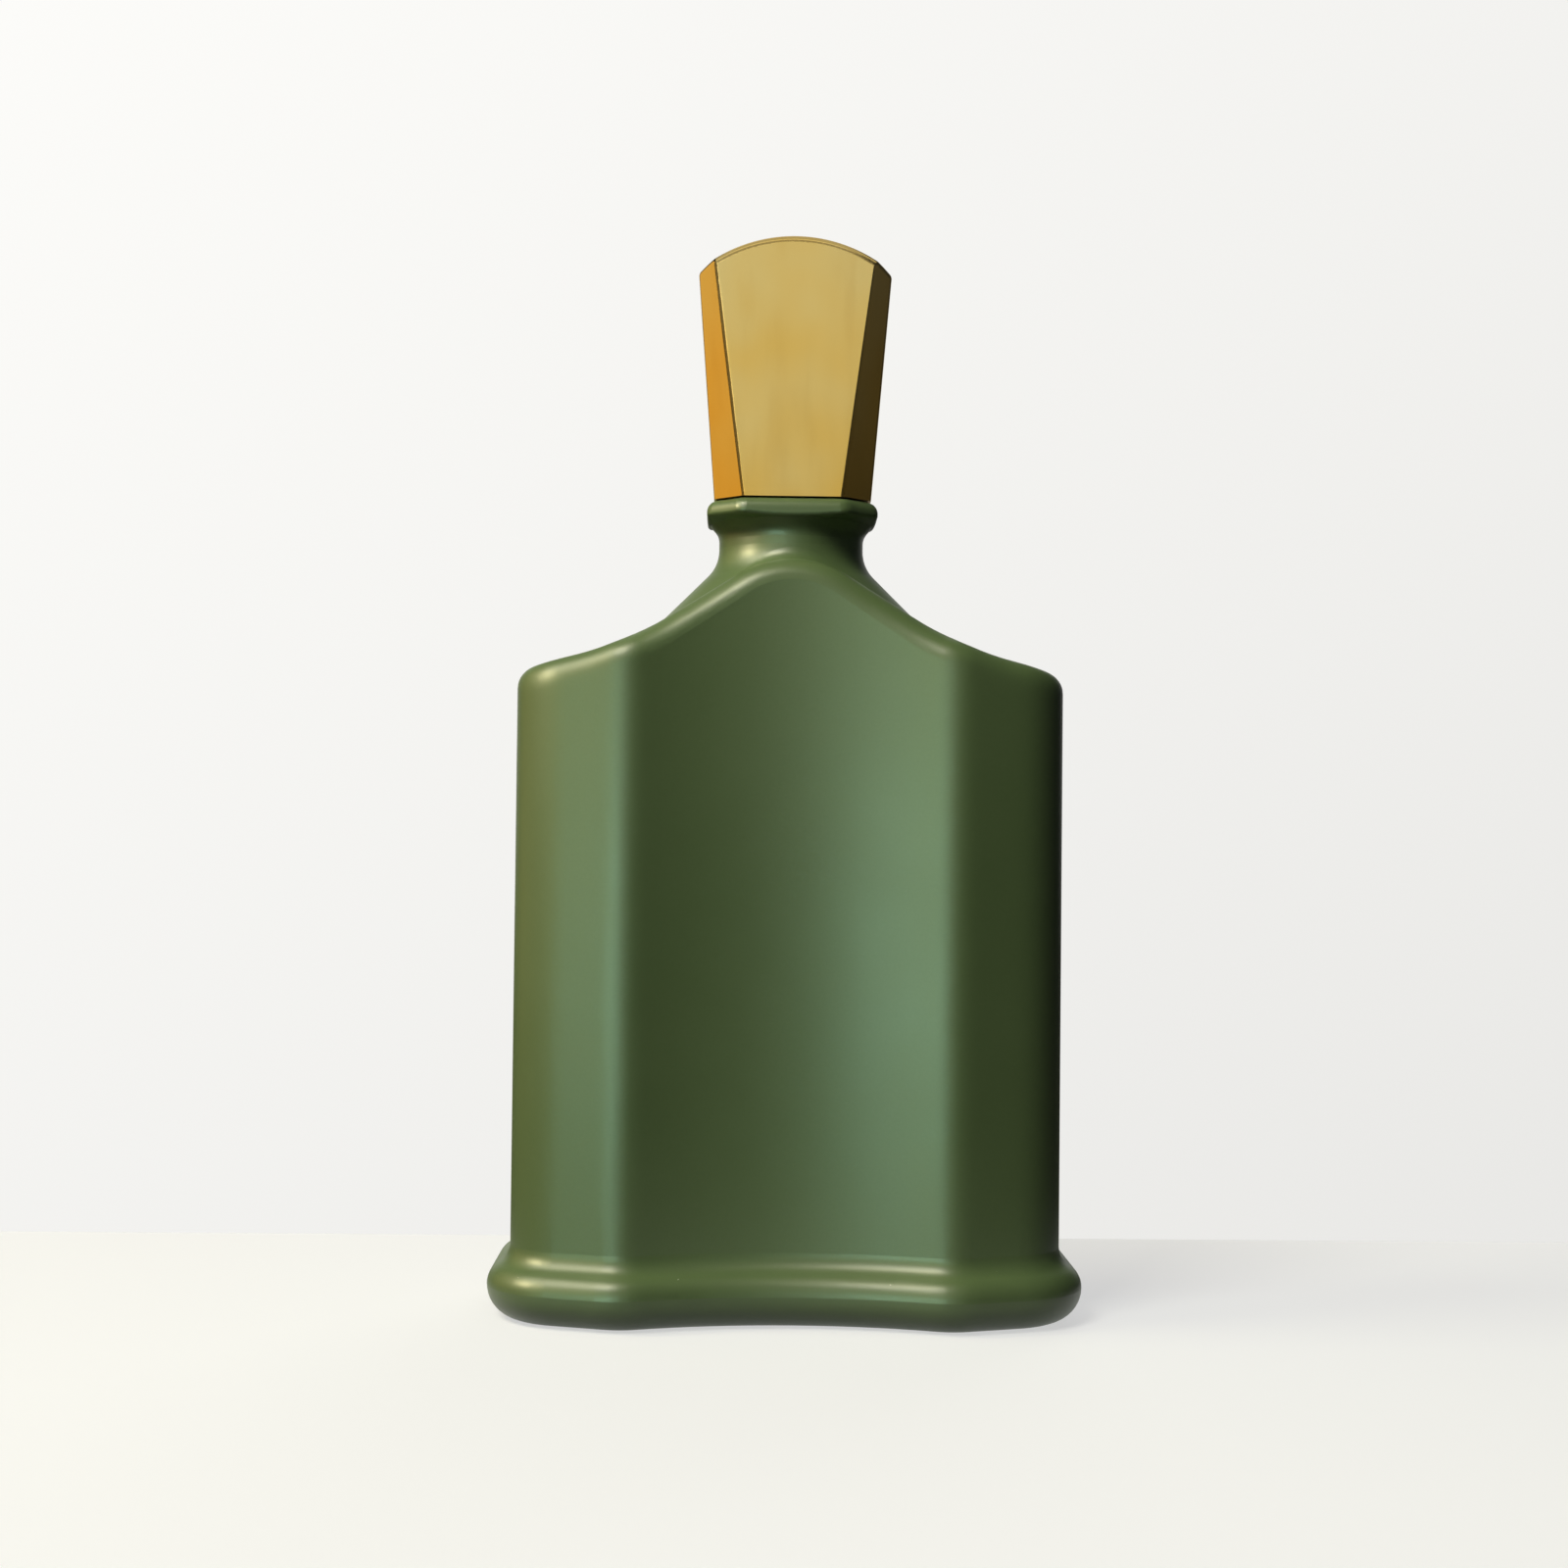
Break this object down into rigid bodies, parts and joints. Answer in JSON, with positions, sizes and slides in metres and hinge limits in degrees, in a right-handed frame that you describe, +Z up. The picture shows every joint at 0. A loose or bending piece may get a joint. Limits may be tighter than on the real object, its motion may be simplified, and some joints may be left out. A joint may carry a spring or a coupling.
{
  "type": "aftershave bottle",
  "caption": "Lacquered glass aftershave bottle with hollowed panels, base bead and arched shoulders, a crimped spray pump and a faceted gold cap that lifts off.",
  "frame": {"origin": "centre of the base, on the surface the bottle stands on", "axes": "+Z up along the neck, -Y towards the front, +X to the right seen from the front"},
  "size_m": [0.0758, 0.041, 0.1375],
  "materials": {
    "lacquered_glass": "satin green lacquer, opaque",
    "gold_cap": "polished gold plating",
    "gold_aluminium": "gold anodised, bright",
    "pump_plastic": "natural moulded plastic",
    "liner_plastic": "natural moulded plastic",
    "nozzle_plastic": "moulded plastic",
    "tube_plastic": "translucent tube",
    "gasket": "white seal",
    "steel": "bright steel"
  },
  "bodies": {
    "bottle": {"glass_bottle": "lacquered_glass", "neck_gasket": "gasket", "crimp_ferrule": "gold_aluminium", "pump_housing": "pump_plastic", "pump_turret": "pump_plastic", "dip_tube": "tube_plastic", "return_spring": "steel"},
    "pump_rod": {"pump_stem": "pump_plastic", "valve_pin": "pump_plastic", "preload_spring": "steel"},
    "button": {"actuator_core": "pump_plastic", "actuator_shell": "gold_aluminium", "nozzle_insert": "nozzle_plastic"},
    "piston": {"pump_piston": "pump_plastic"},
    "ball": {"inlet_ball": "steel"},
    "cap": {"cap_shell": "gold_cap", "cap_liner": "liner_plastic"}
  },
  "joints": [
    {"name": "cap_lift", "type": "slide", "parent": "bottle", "child": "cap", "axis": [0, 0, 1], "range_m": [0, 0.035]},
    {"name": "spray_press", "type": "slide", "parent": "bottle", "child": "pump_rod", "axis": [0, 0, -1], "range_m": [0, 0.0042], "stiffness_N_per_m": 900, "springref_m": -0.004, "deforming": ["return_spring"]},
    {"name": "nozzle_turn", "type": "hinge", "parent": "pump_rod", "child": "button", "pos_m": [0, 0, 0.12], "axis": [0, 0, 1], "continuous": true},
    {"name": "piston_slip", "type": "slide", "parent": "pump_rod", "child": "piston", "axis": [0, 0, 1], "range_m": [0, 0.0006], "stiffness_N_per_m": 600, "springref_m": -0.002, "deforming": ["preload_spring"]},
    {"name": "ball_lift", "type": "slide", "parent": "bottle", "child": "ball", "axis": [0, 0, 1], "range_m": [0, 0.0008]}
  ]
}
